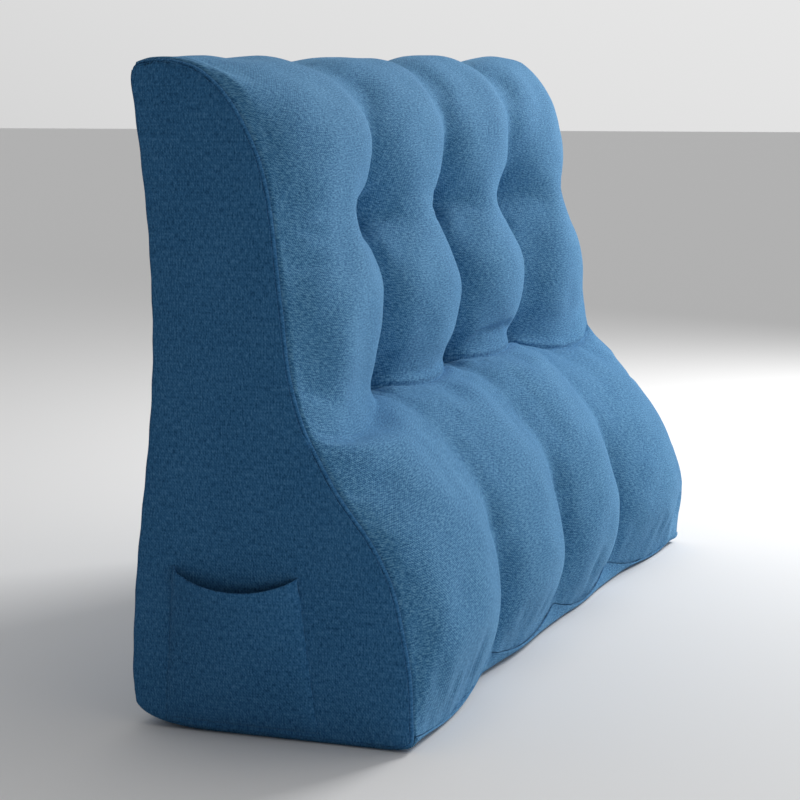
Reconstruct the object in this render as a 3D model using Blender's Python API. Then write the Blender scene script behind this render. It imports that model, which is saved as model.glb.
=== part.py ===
"""Wedge headboard pillow: a filled wedge with four sewn columns down its front, two rows
of pulled-in points, a waist seam, flat welted side panels, a side pocket, a base that turns
up at the front, and a plain back.

Metres, X along the width, +Y to the back, Z up. The pillow stands on its base.
"""

import bmesh
import bpy
import numpy as np

MM = 0.001

# Driving sizes
WIDTH = 0.800                 # over the two welts
CLOTH = 0.0015                # thickness of a sewn-on panel
GAP = 0.0003                  # between neighbouring pieces
WELT_RISE = 0.0032            # how far a welt stands off the filled body
WELT_WIDTH = 0.0041
WELT_INSET = 0.0008           # from the outline to the welt
PANEL_INSET = WELT_INSET + WELT_WIDTH + GAP
EDGE_ROLL = 0.0012            # rounding of the front cover where it meets a side

BODY_HALF = WIDTH / 2 - WELT_RISE - GAP
PANEL_FACE = BODY_HALF + GAP + CLOTH

# The front cover, from the back edge over the top and down to the lower seam. Each row
# gives (y, z) in millimetres on the left side seam and in the groove between two columns,
# then how far the crest of a column rises from the straight line between its two edges.
# The right side seam is the left one moved back by a few millimetres. The last value is
# the shape of the groove: 0.5 is a cusp, 1 a soft valley.
FRONT_STATIONS = (
    # name           left seam       right back   groove          crest rise      shape
    ("back edge",   (104.0, 490.0),    0.0,      (104.0, 487.0),  (0.0, 1.5),     0.90),
    ("top back",    (91.0, 493.0),     0.0,      (88.0, 488.5),   (-2.0, 7.0),    0.75),
    ("top",         (72.0, 492.5),    -4.0,      (66.0, 488.0),   (-4.0, 9.0),    0.65),
    ("brow",        (50.0, 485.0),    -6.0,      (44.0, 481.5),   (-11.0, 12.0),  0.72),
    ("forehead",    (28.0, 464.0),    -1.0,      (29.0, 463.0),   (-26.0, 9.0),   0.92),
    ("upper lobe",  (9.0, 431.0),      9.0,      (21.0, 431.0),   (-32.0, 7.0),   0.80),
    ("lobe foot",   (0.0, 403.0),     14.0,      (20.0, 401.0),   (-28.0, 3.0),   0.60),
    ("upper tuft",  (-5.0, 373.0),    18.0,      (23.0, 371.0),   (-19.0, 1.0),   0.60),
    ("over mid",    (-8.0, 344.0),    12.0,      (11.0, 342.0),   (-24.0, 2.0),   0.54),
    ("mid lobe",    (-12.0, 309.0),    6.0,      (4.0, 306.0),    (-36.0, 2.0),   0.52),
    ("under mid",   (-16.0, 274.0),    3.0,      (3.0, 272.0),    (-28.0, 1.0),   0.52),
    ("pinch",       (-21.0, 251.0),    4.0,      (6.0, 250.0),    (-19.0, -2.0),  0.56),
    ("waist",       (-28.5, 229.0),    7.0,      (8.0, 238.0),    (-25.0, -10.0), 0.62),
    ("lip",         (-38.0, 211.0),    4.0,      (-14.0, 217.0),  (-34.0, 0.0),   0.65),
    ("slope",       (-54.0, 184.0),   -2.0,      (-45.0, 189.0),  (-33.0, 0.0),   0.80),
    ("shoulder",    (-79.0, 151.0),   -4.0,      (-75.0, 157.0),  (-30.0, -3.0),  0.85),
    ("knee",        (-95.0, 120.0),   -7.0,      (-91.0, 124.0),  (-29.0, -7.0),  0.85),
    ("belly",       (-103.0, 88.0),  -13.0,      (-99.0, 90.0),   (-27.0, -10.0), 0.80),
    ("toe",         (-109.0, 53.0),  -14.0,      (-101.0, 55.0),  (-18.0, -9.0),  0.75),
    ("lower seam",  (-110.5, 12.0),  -11.0,      (-99.0, 21.0),   (-4.0, -14.0),  1.10),
)
ROWS_PER_STATION = 2
BROW_ROW = ROWS_PER_STATION * 3
FOREHEAD_ROW = ROWS_PER_STATION * 4
WAIST_ROW = ROWS_PER_STATION * 12
TOP_SHAPE, OUTER_SHAPE = 0.65, 0.9      # groove shapes towards a side seam, top and below

# Under the top the grooves are soft valleys: their bottom is raised by a share of the
# crest's rise, which fades towards the upper points. The grooves differ in how full they are.
FILL_STATIONS = (2.0, 3.0, 4.0, 5.0, 6.0, 7.0)
VALLEY_FILL = (0.0, 0.25, 0.50, 0.38, 0.15, 0.0)
GROOVE_FILL = (0.9, 1.0, 1.3)

# Where the grooves are, and how each column differs from the table above: the fullness
# of its crest in the upper, middle and lower lobe, how much higher its top stands, and how
# far its waist sags.
GROOVE_PITCH = 0.183
FULLNESS_STATIONS = (6.0, 8.5, 12.0, 16.0)
COLUMNS = (
    # upper  middle  lower  top rise  waist sag
    (1.00,   0.92,   0.95,  -0.008,   0.008),
    (1.00,   1.00,   0.95,   0.000,   0.000),
    (1.06,   1.12,   1.10,   0.004,  -0.006),
    (0.86,   0.85,   0.95,   0.008,   0.010),
)

# Places across a column where the front cover has a line of points, closer at the grooves.
ACROSS_COLUMN = (-1.0, -0.93, -0.76, -0.45, 0.0, 0.45, 0.76, 0.93)

# The rest of the outline in millimetres. The base turns up at the front as a strip that
# ends below the lower seam. Its line on the floor is drawn back by the columns, and both
# bottom corners curve off the floor.
STRIP_GAP = 0.8
BASE_EASE = 0.0005            # extra room over the base panel, whose strip twists
STRIP_CORNER = 9.0            # height where the front corner ends, under a seam above it
STRIP_CORNER_SHARE = 0.8      # share of the strip's height that it takes under a low seam
FLOOR_LINE = (
    # x       y      reach of the front corner
    (-396.5, -111.0, 26.0),
    (-300.0, -93.0,  14.0),
    (-200.0, -93.0,  12.0),
    (-50.0,  -100.0, 12.0),
    (70.0,   -103.5, 12.0),
    (210.0,  -106.5, 12.0),
    (300.0,  -107.0, 14.0),
    (370.0,  -115.0, 20.0),
    (396.5,  -122.0, 24.0),
)
BACK_CORNER = ((45.0, 0.0), (104.0, 0.0), (112.5, 17.0))
BACK_LINE = (
    (113.5, 24.0), (114.0, 50.0), (110.5, 109.0), (104.5, 163.0), (99.0, 208.0),
    (95.0, 253.0), (93.5, 300.0), (95.5, 362.0), (100.0, 413.0), (105.0, 455.0),
    (107.5, 476.0), (107.0, 484.5),
)
TOP_CORNER = ((107.5, 480.0), (107.5, 493.0), (91.0, 493.0))
CORNER_STEPS = 6

# The side pocket, on the left panel. The mouth sags in the middle and stands open.
POCKET_BACK_TOP = (77.0, 124.0)
POCKET_FRONT_TOP = (-22.0, 122.0)
POCKET_BACK_BOTTOM = (84.0, 9.0)
POCKET_FRONT_BOTTOM = (-37.0, 7.5)
POCKET_SAG = 0.013
POCKET_BOW = 0.012
POCKET_HEM = 0.0008           # extra thickness of the folded mouth
POCKET_HEM_DEPTH = 0.12       # share of the pocket's height that is hem
POCKET_COLUMNS = 14
POCKET_ROWS = 9

CLOTH_BLUE = (0.075, 0.175, 0.330, 1.0)
CLOTH_SHADE_BLUE = (0.045, 0.120, 0.235, 1.0)


def clear_scene():
    for old in list(bpy.data.objects):
        bpy.data.objects.remove(old, do_unlink=True)


def cloth_material(name, colour):
    material = bpy.data.materials.new(name)
    material.use_nodes = True
    shader = material.node_tree.nodes["Principled BSDF"]
    shader.inputs["Base Color"].default_value = colour
    shader.inputs["Roughness"].default_value = 0.92
    shader.inputs["Metallic"].default_value = 0.0
    return material


def smooth_rows(rows, steps):
    """Run a smooth curve through every row, with the given steps from one to the next."""
    rows = np.asarray(rows, dtype=float)
    before = np.vstack([2 * rows[0] - rows[1], rows[:-1]])
    after = np.vstack([rows[1:], 2 * rows[-1] - rows[-2]])
    slopes = (after - before) / 2
    curve = []
    for index in range(len(rows) - 1):
        start, end = rows[index], rows[index + 1]
        for step in range(steps):
            t = step / steps
            curve.append(
                (2 * t**3 - 3 * t**2 + 1) * start
                + (t**3 - 2 * t**2 + t) * slopes[index]
                + (3 * t**2 - 2 * t**3) * end
                + (t**3 - t**2) * slopes[index + 1]
            )
    curve.append(rows[-1])
    return np.array(curve)


def corner_curve(start, middle, end, steps):
    """A round corner that leaves start and reaches end along the lines to middle."""
    t = np.linspace(0.0, 1.0, steps + 1)[:, None]
    start, middle, end = (np.array(point) for point in (start, middle, end))
    return (1 - t) ** 2 * start + 2 * t * (1 - t) * middle + t**2 * end


def offset_path(path, distance, closed=False):
    """Move a (y, z) path inward, to the left of its direction of travel."""
    ahead = np.roll(path, -1, axis=0)
    behind = np.roll(path, 1, axis=0)
    if not closed:
        ahead[-1] = path[-1]
        behind[0] = path[0]
    along_in = path - behind
    along_out = ahead - path
    for along in (along_in, along_out):
        along /= np.maximum(np.linalg.norm(along, axis=1, keepdims=True), 1e-12)
    tangent = along_in + along_out
    tangent /= np.linalg.norm(tangent, axis=1, keepdims=True)
    inward = np.stack([-tangent[:, 1], tangent[:, 0]], axis=1)
    return path + distance * inward


def trim_path(path, distance):
    """Shorten an open path by the same distance at both ends."""
    path = path.copy()
    for end, neighbour in ((0, 1), (-1, -2)):
        along = path[neighbour] - path[end]
        path[end] += distance * along / np.linalg.norm(along)
    return path


class FrontCover:
    """The quilted front: its smooth profiles and the shape of its grooves."""

    def __init__(self):
        table = []
        for _, left, set_back, groove, rise, shape in FRONT_STATIONS:
            right = (left[0] + set_back, left[1])
            table.append([value * MM for value in left + right + groove + rise] + [shape])
        rows = smooth_rows(table, ROWS_PER_STATION)
        self.left_seam = rows[:, 0:2]
        self.right_seam = rows[:, 2:4]
        self.groove = rows[:, 4:6]
        self.rise = rows[:, 6:8]
        self.shape = rows[:, 8:9]
        self.grooves = [
            GROOVE_PITCH * (index - (len(COLUMNS) - 2) / 2) for index in range(len(COLUMNS) - 1)
        ]
        self.edges = [-BODY_HALF] + self.grooves + [BODY_HALF]

    def places(self):
        """Each x across the pillow with its column and its place in it, from -1 to 1."""
        found = []
        for column in range(len(COLUMNS)):
            left, right = self.edges[column], self.edges[column + 1]
            for across in ACROSS_COLUMN:
                found.append((left + (right - left) * (across + 1) / 2, column, across))
        found.append((BODY_HALF, len(COLUMNS) - 1, 1.0))
        return found

    def line_at(self, column, across):
        """The (y, z) profile at a place across a column."""
        first, last = column == 0, column == len(COLUMNS) - 1
        left = self.left_seam if first else self.groove
        right = self.right_seam if last else self.groove
        upper, middle, lower, top_rise, waist_sag = COLUMNS[column]
        row = np.arange(len(self.rise))
        fullness = np.interp(
            row / ROWS_PER_STATION, FULLNESS_STATIONS, (upper, middle, middle, lower)
        )
        rise = self.rise * fullness[:, None]
        rise[:, 1] += top_rise * bump(row, BROW_ROW, BROW_ROW)
        rise[:, 1] -= waist_sag * bump(row, WAIST_ROW + 1, BROW_ROW)
        valley = self.rise * np.interp(row / ROWS_PER_STATION, FILL_STATIONS, VALLEY_FILL)[:, None]
        left_fill = 0.0 if first else GROOVE_FILL[column - 1]
        right_fill = 0.0 if last else GROOVE_FILL[column]
        left = left + left_fill * valley
        right = right + right_fill * valley
        rise -= (left_fill + right_fill) / 2 * valley
        shape = self.shape
        if (first and across < 0) or (last and across > 0):
            outer = np.interp(row, (FOREHEAD_ROW, FOREHEAD_ROW + 2), (TOP_SHAPE, OUTER_SHAPE))
            shape = np.maximum(shape, outer[:, None])
        flat = left + (right - left) * (across + 1) / 2
        return flat + rise * (1 - across**2) ** shape


def bump(row, peak, reach):
    """A smooth hill over the rows, 1 at its peak and 0 past its reach."""
    return np.cos(np.pi / 2 * np.clip((row - peak) / reach, -1, 1)) ** 2


def base_path(x, seam):
    """The (y, z) path of the base at x: up the front strip first, then along the floor."""
    places, lines, reaches = zip(*FLOOR_LINE)
    front = np.interp(x / MM, places, lines)
    reach = np.interp(x / MM, places, reaches)
    seam_y, seam_z = seam / MM
    share = min(STRIP_CORNER / seam_z, STRIP_CORNER_SHARE)
    corner_start = np.array((front + (seam_y - front) * share, seam_z * share))
    along = corner_start - seam / MM
    return np.vstack([
        seam / MM + STRIP_GAP * along / np.linalg.norm(along),
        corner_curve(corner_start, (front, 0.0), (front + reach, 0.0), CORNER_STEPS),
        corner_curve(*BACK_CORNER, CORNER_STEPS),
    ]) * MM


def side_outline(x, seam_line):
    """The closed outline that the welt and the side panel follow."""
    return np.vstack([
        seam_line[ROWS_PER_STATION:],
        base_path(x, seam_line[-1])[1:],
        np.array(BACK_LINE[:-1]) * MM,
        corner_curve(*TOP_CORNER, CORNER_STEPS)[:-1] * MM,
    ])


def object_from_mesh(name, build, material, parent):
    mesh = bpy.data.meshes.new(name)
    build.to_mesh(mesh)
    build.free()
    mesh.materials.append(material)
    mesh.shade_smooth()
    mesh.set_sharp_from_angle(angle=np.radians(40))
    piece = bpy.data.objects.new(name, mesh)
    bpy.context.scene.collection.objects.link(piece)
    piece.parent = parent
    return piece


def add_rings(build, rings, closed_stack=False, turn=None):
    """Skin a stack of equal closed rings of points and return their vertices.

    With turn, each face is cut along a diagonal that turns over from that place on. Two
    skins that follow each other then bend along the same lines and keep their gap.
    """
    stack = [[build.verts.new(point) for point in ring] for ring in rings]
    count = len(stack[0])
    pairs = list(zip(stack[:-1], stack[1:]))
    if closed_stack:
        pairs.append((stack[-1], stack[0]))
    for ring, next_ring in pairs:
        for index in range(count):
            follow = (index + 1) % count
            corners = (ring[index], ring[follow], next_ring[follow], next_ring[index])
            if turn is None:
                build.faces.new(corners)
            elif index < turn:
                build.faces.new((corners[0], corners[1], corners[2]))
                build.faces.new((corners[0], corners[2], corners[3]))
            else:
                build.faces.new((corners[0], corners[1], corners[3]))
                build.faces.new((corners[1], corners[2], corners[3]))
    return stack


def close_strip(build, ring):
    """Fill a thin ring whose second half runs back beside its first."""
    for index in range(len(ring) // 2 - 1):
        opposite = len(ring) - 1 - index
        build.faces.new((ring[index], ring[index + 1], ring[opposite - 1], ring[opposite]))


def face_outward(build):
    bmesh.ops.recalc_face_normals(build, faces=build.faces)


def make_cushion(cover, material, parent):
    """The filled body, skinned from side to side by rings of the same points."""
    skin = CLOTH + GAP
    back_inner = offset_path(np.array(BACK_LINE) * MM, skin)
    rings = []
    for x, column, across in cover.places():
        front = cover.line_at(column, across)
        base_inner = offset_path(base_path(x, front[-1]), skin + BASE_EASE)
        if abs(x) > BODY_HALF - GAP:
            front = offset_path(front, EDGE_ROLL)
        ring = np.vstack([front, base_inner, back_inner])
        rings.append([(x, y, z) for y, z in ring])

    build = bmesh.new()
    stack = add_rings(build, rings, turn=len(rings[0]))
    build.faces.new(stack[0])
    build.faces.new(reversed(stack[-1]))
    face_outward(build)
    return object_from_mesh("cushion", build, material, parent)


def make_sheet(name, paths, material, parent):
    """A panel that follows a (y, z) path at each x across the body."""
    rings = []
    for x, path in paths:
        path = trim_path(path, GAP)
        section = np.vstack([path, offset_path(path, CLOTH)[::-1]])
        rings.append([(x, y, z) for y, z in section])
    build = bmesh.new()
    stack = add_rings(build, rings, turn=len(path))
    close_strip(build, stack[0])
    close_strip(build, stack[-1])
    face_outward(build)
    return object_from_mesh(name, build, material, parent)


def make_side_panel(name, side, outline, material, parent):
    """A flat panel inside the welt, on the side of the body: side is -1 left, 1 right."""
    rim = offset_path(outline, PANEL_INSET, closed=True)
    build = bmesh.new()
    faces = [
        [(side * x, y, z) for y, z in rim] for x in (BODY_HALF + GAP, PANEL_FACE)
    ]
    inner, outer = add_rings(build, faces)
    build.faces.new(inner)
    build.faces.new(reversed(outer))
    face_outward(build)
    return object_from_mesh(name, build, material, parent)


def make_welt(name, side, outline, material, parent):
    """A rounded ridge that runs all round a side panel."""
    half = WELT_WIDTH / 2
    foot = BODY_HALF + GAP
    top = WIDTH / 2
    shoulder = foot + 0.6 * (top - foot)
    section = (
        (-half, foot), (half, foot), (half, shoulder),
        (0.45 * half, top), (-0.45 * half, top), (-half, shoulder),
    )
    middle = WELT_INSET + half
    lines = [
        [(side * x, y, z) for y, z in offset_path(outline, middle + shift, closed=True)]
        for shift, x in section
    ]
    build = bmesh.new()
    add_rings(build, lines, closed_stack=True)
    face_outward(build)
    return object_from_mesh(name, build, material, parent)


def pocket_point(across, up, lift):
    """A point of the pocket: across runs from its back edge, up from its bottom seam."""
    bottom = np.array(POCKET_BACK_BOTTOM) * (1 - across) + np.array(POCKET_FRONT_BOTTOM) * across
    top = np.array(POCKET_BACK_TOP) * (1 - across) + np.array(POCKET_FRONT_TOP) * across
    swell = 4 * across * (1 - across)
    y, z = (bottom * (1 - up) + top * up) * MM
    z -= POCKET_SAG * up * swell**0.8
    bow = POCKET_BOW * swell**0.6 * up**0.7
    return -(PANEL_FACE + GAP + bow + lift), y, z


def make_pocket(material, parent):
    """The patch pocket: an open sheet with a thicker hem along its mouth."""
    hem_start = 1 - POCKET_HEM_DEPTH
    heights = list(np.linspace(0.0, hem_start - 0.01, POCKET_ROWS)) + [hem_start, 1.0]
    rings = []
    for up in heights:
        thickness = CLOTH + (POCKET_HEM if up >= hem_start else 0.0)
        acrosses = np.linspace(0.0, 1.0, POCKET_COLUMNS + 1)
        inner = [pocket_point(across, up, 0.0) for across in acrosses]
        outer = [pocket_point(across, up, thickness) for across in acrosses]
        rings.append(inner + outer[::-1])
    build = bmesh.new()
    stack = add_rings(build, rings)
    close_strip(build, stack[0])
    close_strip(build, stack[-1])
    face_outward(build)
    return object_from_mesh("pocket_left", build, material, parent)


def centre_on_base(parent, pieces):
    """Set the parent so that the middle of the whole pillow's base is at the origin."""
    points = np.array([vertex.co for piece in pieces for vertex in piece.data.vertices])
    low, high = points.min(axis=0), points.max(axis=0)
    parent.location = (-(low[0] + high[0]) / 2, -(low[1] + high[1]) / 2, -low[2])


def build_pillow():
    clear_scene()
    frame = bpy.data.objects.new("pillow_frame", None)
    bpy.context.scene.collection.objects.link(frame)
    front_blue = cloth_material("front_cloth", CLOTH_BLUE)
    side_blue = cloth_material("side_cloth", CLOTH_SHADE_BLUE)

    cover = FrontCover()
    base_paths = [
        (x, base_path(x, cover.line_at(column, across)[-1]))
        for x, column, across in cover.places()
    ]
    back_line = np.array(BACK_LINE) * MM
    back_paths = [(x, back_line) for x in (-BODY_HALF, BODY_HALF)]
    pieces = [
        make_cushion(cover, front_blue, frame),
        make_sheet("base_panel", base_paths, front_blue, frame),
        make_sheet("back_panel", back_paths, side_blue, frame),
        make_pocket(side_blue, frame),
    ]
    for word, side, seam_line in (
        ("left", -1, cover.left_seam), ("right", 1, cover.right_seam),
    ):
        outline = side_outline(side * BODY_HALF, seam_line)
        pieces.append(make_side_panel(f"side_panel_{word}", side, outline, side_blue, frame))
        pieces.append(make_welt(f"welt_{word}", side, outline, side_blue, frame))
    centre_on_base(frame, pieces)


build_pillow()
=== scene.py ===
import math

import bmesh
import bpy
import numpy as np
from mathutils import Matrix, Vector


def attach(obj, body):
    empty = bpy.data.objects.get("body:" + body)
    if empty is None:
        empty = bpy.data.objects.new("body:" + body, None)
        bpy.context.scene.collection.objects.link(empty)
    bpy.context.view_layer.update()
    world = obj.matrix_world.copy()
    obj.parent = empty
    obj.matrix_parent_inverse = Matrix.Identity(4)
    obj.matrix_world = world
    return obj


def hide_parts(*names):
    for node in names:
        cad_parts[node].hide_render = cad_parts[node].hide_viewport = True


# The frame and the camera
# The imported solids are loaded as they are. The camera stands low and to the left, about
# 1.9 m away, with a long lens, as it does in the photograph.
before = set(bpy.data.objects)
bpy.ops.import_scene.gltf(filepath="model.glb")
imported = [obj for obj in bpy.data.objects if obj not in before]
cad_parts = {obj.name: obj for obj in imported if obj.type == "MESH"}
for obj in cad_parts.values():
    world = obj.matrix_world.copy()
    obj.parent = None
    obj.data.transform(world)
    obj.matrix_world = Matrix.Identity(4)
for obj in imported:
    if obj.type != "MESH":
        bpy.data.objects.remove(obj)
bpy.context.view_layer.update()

MM = 0.001
CAMERA_PLACE = (-1.7924, -0.5996, 0.4625)
CAMERA_YAW = 70.04            # degrees from +Y towards +X
CAMERA_PITCH = -7.94
CAMERA_LENS = 96.7            # mm, on a sensor 36 mm wide
CAMERA_SHIFT = -0.0025

camera_data = bpy.data.cameras.new("camera")
camera_data.lens = CAMERA_LENS
camera_data.sensor_width = 36.0
camera_data.shift_x = CAMERA_SHIFT
camera = bpy.data.objects.new("camera", camera_data)
camera.location = CAMERA_PLACE
camera.rotation_euler = (math.radians(90 + CAMERA_PITCH), 0.0, math.radians(-CAMERA_YAW))
bpy.context.scene.collection.objects.link(camera)
bpy.context.scene.camera = camera

# The filled body under its quilted front
# The cover runs over the top and down the front in four columns, with a seam across the
# waist and two rows of tufts that pull it in. The loose filling swells each lobe.
WIDTH = 0.800
CLOTH = 0.0015
GAP = 0.0003
WELT_RISE = 0.0032
BODY_HALF = WIDTH / 2 - WELT_RISE - GAP
FRAME_SHIFT = (0.00645, 0.009575)     # from the pillow's own lines to the frame's origin

# Rows from the back edge over the top to the lower seam, in millimetres: (y, z) on the
# left side seam, how far back the right one lies, (y, z) in a groove, the rise of a
# crest from the straight line between its edges, and the shape of the groove.
FRONT_STATIONS = (
    # name           left seam       right back   groove          crest rise      shape
    ("back edge",   (104.0, 490.0),    0.0,      (104.0, 487.0),  (0.0, 1.5),     0.90),
    ("top back",    (91.0, 493.0),     0.0,      (88.0, 488.5),   (-2.0, 7.0),    0.75),
    ("top",         (72.0, 492.5),    -4.0,      (66.0, 488.0),   (-4.0, 9.0),    0.65),
    ("brow",        (50.0, 485.0),    -6.0,      (44.0, 481.5),   (-11.0, 12.0),  0.76),
    ("forehead",    (28.0, 464.0),    -1.0,      (29.0, 463.0),   (-26.0, 9.0),   0.96),
    ("upper lobe",  (9.0, 431.0),      9.0,      (21.0, 431.0),   (-32.0, 7.0),   0.84),
    ("lobe foot",   (0.0, 403.0),     14.0,      (20.0, 401.0),   (-28.0, 3.0),   0.64),
    ("upper tuft",  (-5.0, 373.0),    18.0,      (23.0, 371.0),   (-19.0, 1.0),   0.64),
    ("over mid",    (-8.0, 344.0),    12.0,      (11.0, 342.0),   (-24.0, 2.0),   0.58),
    ("mid lobe",    (-12.0, 309.0),    6.0,      (4.0, 306.0),    (-36.0, 2.0),   0.56),
    ("under mid",   (-16.0, 274.0),    3.0,      (3.0, 272.0),    (-28.0, 1.0),   0.56),
    ("pinch",       (-21.0, 251.0),    4.0,      (6.0, 250.0),    (-19.0, -2.0),  0.60),
    ("waist",       (-28.5, 229.0),    7.0,      (8.0, 238.0),    (-25.0, -10.0), 0.66),
    ("lip",         (-38.0, 211.0),    4.0,      (-14.0, 217.0),  (-34.0, 0.0),   0.68),
    ("slope",       (-54.0, 184.0),   -2.0,      (-45.0, 189.0),  (-33.0, 0.0),   0.80),
    ("shoulder",    (-79.0, 151.0),   -4.0,      (-75.0, 157.0),  (-30.0, -3.0),  0.85),
    ("knee",        (-95.0, 120.0),   -7.0,      (-91.0, 124.0),  (-29.0, -7.0),  0.85),
    ("belly",       (-103.0, 88.0),  -13.0,      (-99.0, 90.0),   (-27.0, -10.0), 0.80),
    ("toe",         (-109.0, 53.0),  -14.0,      (-101.0, 55.0),  (-18.0, -9.0),  0.75),
    ("lower seam",  (-110.5, 12.0),  -11.0,      (-99.0, 21.0),   (-4.0, -14.0),  1.10),
)
TUFT, WAIST, LOWER = 7, 12, 19        # stations of the upper tufts, waist and lower seam
GROOVES = (-0.183, 0.0, 0.183)
FULLNESS_STATIONS = (6.0, 8.5, 12.0, 16.0)
COLUMNS = (
    # upper  middle  lower  top rise  waist sag
    (1.00,   0.92,   0.95,  -0.008,   0.008),
    (1.00,   1.00,   0.95,   0.000,   0.000),
    (1.06,   1.12,   1.10,   0.004,  -0.006),
    (0.86,   0.85,   0.95,   0.008,   0.010),
)
TOP_SHAPE, OUTER_SHAPE = 0.65, 0.9
# Under the top the grooves are soft valleys, raised by a share of the crest's rise.
FILL_STATIONS = (2.0, 3.0, 4.0, 5.0, 6.0, 7.0)
VALLEY_FILL = (0.0, 0.25, 0.50, 0.38, 0.15, 0.0)
GROOVE_FILL = (0.9, 1.0, 1.3)


def follow(table, places):
    """A smooth curve through the rows of a table, read at places counted in rows."""
    table = np.asarray(table, dtype=float)
    before = np.vstack([2 * table[0] - table[1], table[:-1]])
    after = np.vstack([table[1:], 2 * table[-1] - table[-2]])
    slopes = (after - before) / 2
    places = np.clip(places, 0, len(table) - 1)
    index = np.minimum(places.astype(int), len(table) - 2)
    t = (places - index)[:, None]
    return (
        (2 * t**3 - 3 * t**2 + 1) * table[index]
        + (t**3 - 2 * t**2 + t) * slopes[index]
        + (3 * t**2 - 2 * t**3) * table[index + 1]
        + (t**3 - t**2) * slopes[index + 1]
    )


def bump(value, peak, reach):
    """A smooth hill, 1 at its peak and 0 past its reach."""
    return np.cos(np.pi / 2 * np.clip((value - peak) / reach, -1, 1)) ** 2


def front_cover(stations, places):
    """Points of the front cover, a row for each station place and a column for each x."""
    values = [
        [*left, left[0] + back, left[1], *groove, *rise]
        for _, left, back, groove, rise, _ in FRONT_STATIONS
    ]
    lines = follow(values, stations) * MM
    shapes = follow([[station[-1]] for station in FRONT_STATIONS], stations)
    left_seam, right_seam = lines[:, 0:2], lines[:, 2:4]
    groove, crest_rise = lines[:, 4:6], lines[:, 6:8]
    valley = crest_rise * np.interp(stations, FILL_STATIONS, VALLEY_FILL)[:, None]
    edges = (-BODY_HALF, *GROOVES, BODY_HALF)
    points = np.zeros((len(stations), len(places), 3))
    for index, x in enumerate(places):
        column = min(int(np.searchsorted(GROOVES, x, side="right")), len(COLUMNS) - 1)
        first, last = column == 0, column == len(COLUMNS) - 1
        left_fill = 0.0 if first else GROOVE_FILL[column - 1]
        right_fill = 0.0 if last else GROOVE_FILL[column]
        start = left_seam if first else groove + left_fill * valley
        end = right_seam if last else groove + right_fill * valley
        across = 2 * (x - edges[column]) / (edges[column + 1] - edges[column]) - 1
        upper, middle, lower, top_rise, sag = COLUMNS[column]
        rise = crest_rise * np.interp(stations, FULLNESS_STATIONS, (upper, middle, middle, lower))[:, None]
        rise[:, 1] += top_rise * bump(stations, 3.0, 3.0) - sag * bump(stations, WAIST + 0.5, 3.0)
        rise -= (left_fill + right_fill) / 2 * valley
        shape = shapes
        if (first and across < 0) or (last and across > 0):
            outer = np.interp(stations, (4.0, 5.0), (TOP_SHAPE, OUTER_SHAPE))
            shape = np.maximum(shapes, outer[:, None])
        profile = start + (end - start) * (across + 1) / 2
        profile = profile + rise * max(1 - across**2, 0.0) ** shape
        points[:, index, 0] = x
        points[:, index, 1:] = profile
    return points


def corner_curve(start, middle, end, steps):
    """A round corner that leaves start and reaches end along the lines to middle."""
    t = np.linspace(0.0, 1.0, steps + 1)[:, None]
    start, middle, end = (np.array(point, dtype=float) for point in (start, middle, end))
    return (1 - t) ** 2 * start + 2 * t * (1 - t) * middle + t**2 * end


def offset_path(path, distance, closed=False):
    """Move a (y, z) path inward, to the left of its direction of travel."""
    ahead, behind = np.roll(path, -1, axis=0), np.roll(path, 1, axis=0)
    if not closed:
        ahead[-1], behind[0] = path[-1], path[0]
    along_in, along_out = path - behind, ahead - path
    for along in (along_in, along_out):
        along /= np.maximum(np.linalg.norm(along, axis=1, keepdims=True), 1e-12)
    tangent = along_in + along_out
    tangent /= np.linalg.norm(tangent, axis=1, keepdims=True)
    return path + np.reshape(distance, (-1, 1)) * np.stack([-tangent[:, 1], tangent[:, 0]], axis=1)


STRIP_GAP = 0.8
STRIP_CORNER, STRIP_CORNER_SHARE = 9.0, 0.8      # mm, and share of a low strip's height
FLOOR_LINE = (
    # x       y      reach of the front corner
    (-396.5, -111.0, 26.0),
    (-300.0, -93.0,  14.0),
    (-200.0, -93.0,  12.0),
    (-50.0,  -100.0, 12.0),
    (70.0,   -103.5, 12.0),
    (210.0,  -106.5, 12.0),
    (300.0,  -107.0, 14.0),
    (370.0,  -115.0, 20.0),
    (396.5,  -122.0, 24.0),
)
BACK_CORNER = ((45.0, 0.0), (104.0, 0.0), (112.5, 17.0))
BACK_LINE = (
    (113.5, 24.0), (114.0, 50.0), (110.5, 109.0), (104.5, 163.0), (99.0, 208.0),
    (95.0, 253.0), (93.5, 300.0), (95.5, 362.0), (100.0, 413.0), (105.0, 455.0),
    (107.5, 476.0), (107.0, 484.5),
)


def base_path(x, seam, steps=6):
    """The (y, z) path of the base at x: up the front strip first, then along the floor."""
    places, lines, reaches = zip(*FLOOR_LINE)
    front = np.interp(x / MM, places, lines)
    reach = np.interp(x / MM, places, reaches)
    seam_y, seam_z = seam / MM
    share = min(STRIP_CORNER / seam_z, STRIP_CORNER_SHARE)
    corner_start = np.array((front + (seam_y - front) * share, seam_z * share))
    along = corner_start - seam / MM
    return np.vstack([
        seam / MM + STRIP_GAP * along / np.linalg.norm(along),
        corner_curve(corner_start, (front, 0.0), (front + reach, 0.0), steps),
        corner_curve(*BACK_CORNER, steps),
    ]) * MM


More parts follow.
